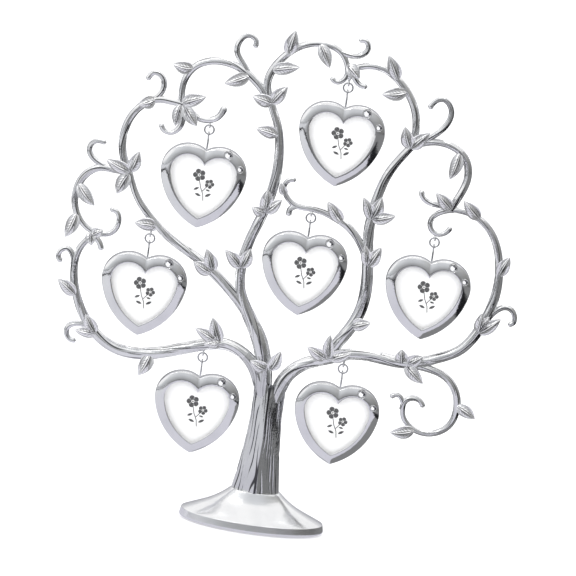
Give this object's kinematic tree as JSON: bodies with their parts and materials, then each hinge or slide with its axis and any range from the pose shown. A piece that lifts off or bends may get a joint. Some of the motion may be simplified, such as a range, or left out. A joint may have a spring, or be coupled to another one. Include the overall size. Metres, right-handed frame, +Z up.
{
  "type": "photo tree stand",
  "caption": "Cast silver tree on an oval flared foot, its curling leafy boughs holding small heart photo frames that hang and swing from jump rings.",
  "frame": {"origin": "middle of the felt pad's underside, on the table", "axes": "+Z up through the trunk, -Y to the front with the windows and crystals, +X to the right of a viewer in front"},
  "size_m": [0.2102, 0.0328, 0.2308],
  "materials": {
    "silver_plate": "mirror-polished silver plate",
    "clear_pane": "clear",
    "photo_paper": "printed satin card",
    "dark_plastic": "matt",
    "crystal": "cut and clear",
    "felt": "felt",
    "steel": "zinc-plated"
  },
  "bodies": {
    "tree": {"foot": "silver_plate", "felt_pad": "felt", "foot_screw": "steel", "trunk": "silver_plate", "left_bough": "silver_plate", "forked_limb": "silver_plate", "left_arches": "silver_plate", "top_arch": "silver_plate", "right_bough": "silver_plate", "right_limb": "silver_plate", "outer_limb": "silver_plate"},
    "upper_left_link": {"upper_left_ring": "silver_plate"},
    "upper_left_heart": {"upper_left_hanger": "silver_plate", "upper_left_bezel": "silver_plate", "upper_left_pane": "clear_pane", "upper_left_photo_card": "photo_paper", "upper_left_crystals": "crystal"},
    "upper_left_back": {"upper_left_back_cover": "dark_plastic"},
    "top_link": {"top_ring": "silver_plate"},
    "top_heart": {"top_hanger": "silver_plate", "top_bezel": "silver_plate", "top_pane": "clear_pane", "top_photo_card": "photo_paper", "top_crystals": "crystal"},
    "top_back": {"top_back_cover": "dark_plastic"},
    "mid_left_link": {"mid_left_ring": "silver_plate"},
    "mid_left_heart": {"mid_left_hanger": "silver_plate", "mid_left_bezel": "silver_plate", "mid_left_pane": "clear_pane", "mid_left_photo_card": "photo_paper", "mid_left_crystals": "crystal"},
    "mid_left_back": {"mid_left_back_cover": "dark_plastic"},
    "centre_link": {"centre_ring": "silver_plate"},
    "centre_heart": {"centre_hanger": "silver_plate", "centre_bezel": "silver_plate", "centre_pane": "clear_pane", "centre_photo_card": "photo_paper", "centre_crystals": "crystal"},
    "centre_back": {"centre_back_cover": "dark_plastic"},
    "right_link": {"right_ring": "silver_plate"},
    "right_heart": {"right_hanger": "silver_plate", "right_bezel": "silver_plate", "right_pane": "clear_pane", "right_photo_card": "photo_paper", "right_crystals": "crystal"},
    "right_back": {"right_back_cover": "dark_plastic"},
    "lower_left_link": {"lower_left_ring": "silver_plate"},
    "lower_left_heart": {"lower_left_hanger": "silver_plate", "lower_left_bezel": "silver_plate", "lower_left_pane": "clear_pane", "lower_left_photo_card": "photo_paper", "lower_left_crystals": "crystal"},
    "lower_left_back": {"lower_left_back_cover": "dark_plastic"},
    "lower_right_link": {"lower_right_ring": "silver_plate"},
    "lower_right_heart": {"lower_right_hanger": "silver_plate", "lower_right_bezel": "silver_plate", "lower_right_pane": "clear_pane", "lower_right_photo_card": "photo_paper", "lower_right_crystals": "crystal"},
    "lower_right_back": {"lower_right_back_cover": "dark_plastic"}
  },
  "joints": [
    {"name": "upper_left_rock", "type": "hinge", "parent": "tree", "child": "upper_left_link", "pos_m": [-0.04264, 0, 0.18173], "axis": [1, 0, 0], "range_deg": [-40, 40]},
    {"name": "upper_left_sway", "type": "hinge", "parent": "upper_left_link", "child": "upper_left_heart", "pos_m": [-0.04264, 0, 0.17963], "axis": [0, 1, 0], "range_deg": [-16, 15]},
    {"name": "upper_left_back_pull", "type": "slide", "parent": "upper_left_heart", "child": "upper_left_back", "axis": [0, 1, 0], "range_m": [0, 0.008]},
    {"name": "top_rock", "type": "hinge", "parent": "tree", "child": "top_link", "pos_m": [0.01602, 0, 0.20933], "axis": [1, 0, 0], "range_deg": [-40, 40]},
    {"name": "top_sway", "type": "hinge", "parent": "top_link", "child": "top_heart", "pos_m": [0.01602, 0, 0.20723], "axis": [0, 1, 0], "range_deg": [-17.5, 19.5]},
    {"name": "top_back_pull", "type": "slide", "parent": "top_heart", "child": "top_back", "axis": [0, 1, 0], "range_m": [0, 0.008]},
    {"name": "mid_left_rock", "type": "hinge", "parent": "tree", "child": "mid_left_link", "pos_m": [-0.06261, 0, 0.1286], "axis": [1, 0, 0], "range_deg": [-40, 40]},
    {"name": "mid_left_sway", "type": "hinge", "parent": "mid_left_link", "child": "mid_left_heart", "pos_m": [-0.06261, 0, 0.1265], "axis": [0, 1, 0], "range_deg": [-12.5, 9.5]},
    {"name": "mid_left_back_pull", "type": "slide", "parent": "mid_left_heart", "child": "mid_left_back", "axis": [0, 1, 0], "range_m": [0, 0.008]},
    {"name": "centre_rock", "type": "hinge", "parent": "tree", "child": "centre_link", "pos_m": [0.0077, 0, 0.14815], "axis": [1, 0, 0], "range_deg": [-40, 40]},
    {"name": "centre_sway", "type": "hinge", "parent": "centre_link", "child": "centre_heart", "pos_m": [0.0077, 0, 0.14605], "axis": [0, 1, 0], "range_deg": [-11.5, 10]},
    {"name": "centre_back_pull", "type": "slide", "parent": "centre_heart", "child": "centre_back", "axis": [0, 1, 0], "range_m": [0, 0.008]},
    {"name": "right_rock", "type": "hinge", "parent": "tree", "child": "right_link", "pos_m": [0.06406, 0, 0.14493], "axis": [1, 0, 0], "range_deg": [-40, 40]},
    {"name": "right_sway", "type": "hinge", "parent": "right_link", "child": "right_heart", "pos_m": [0.06406, 0, 0.14283], "axis": [0, 1, 0], "range_deg": [-16, 13.5]},
    {"name": "right_back_pull", "type": "slide", "parent": "right_heart", "child": "right_back", "axis": [0, 1, 0], "range_m": [0, 0.008]},
    {"name": "lower_left_rock", "type": "hinge", "parent": "tree", "child": "lower_left_link", "pos_m": [-0.03193, 0, 0.07719], "axis": [1, 0, 0], "range_deg": [-40, 40]},
    {"name": "lower_left_sway", "type": "hinge", "parent": "lower_left_link", "child": "lower_left_heart", "pos_m": [-0.03193, 0, 0.07509], "axis": [0, 1, 0], "range_deg": [-14.5, 18]},
    {"name": "lower_left_back_pull", "type": "slide", "parent": "lower_left_heart", "child": "lower_left_back", "axis": [0, 1, 0], "range_m": [0, 0.008]},
    {"name": "lower_right_rock", "type": "hinge", "parent": "tree", "child": "lower_right_link", "pos_m": [0.03162, 0, 0.08099], "axis": [1, 0, 0], "range_deg": [-40, 40]},
    {"name": "lower_right_sway", "type": "hinge", "parent": "lower_right_link", "child": "lower_right_heart", "pos_m": [0.03162, 0, 0.07889], "axis": [0, 1, 0], "range_deg": [-12.5, 12]},
    {"name": "lower_right_back_pull", "type": "slide", "parent": "lower_right_heart", "child": "lower_right_back", "axis": [0, 1, 0], "range_m": [0, 0.008]}
  ]
}
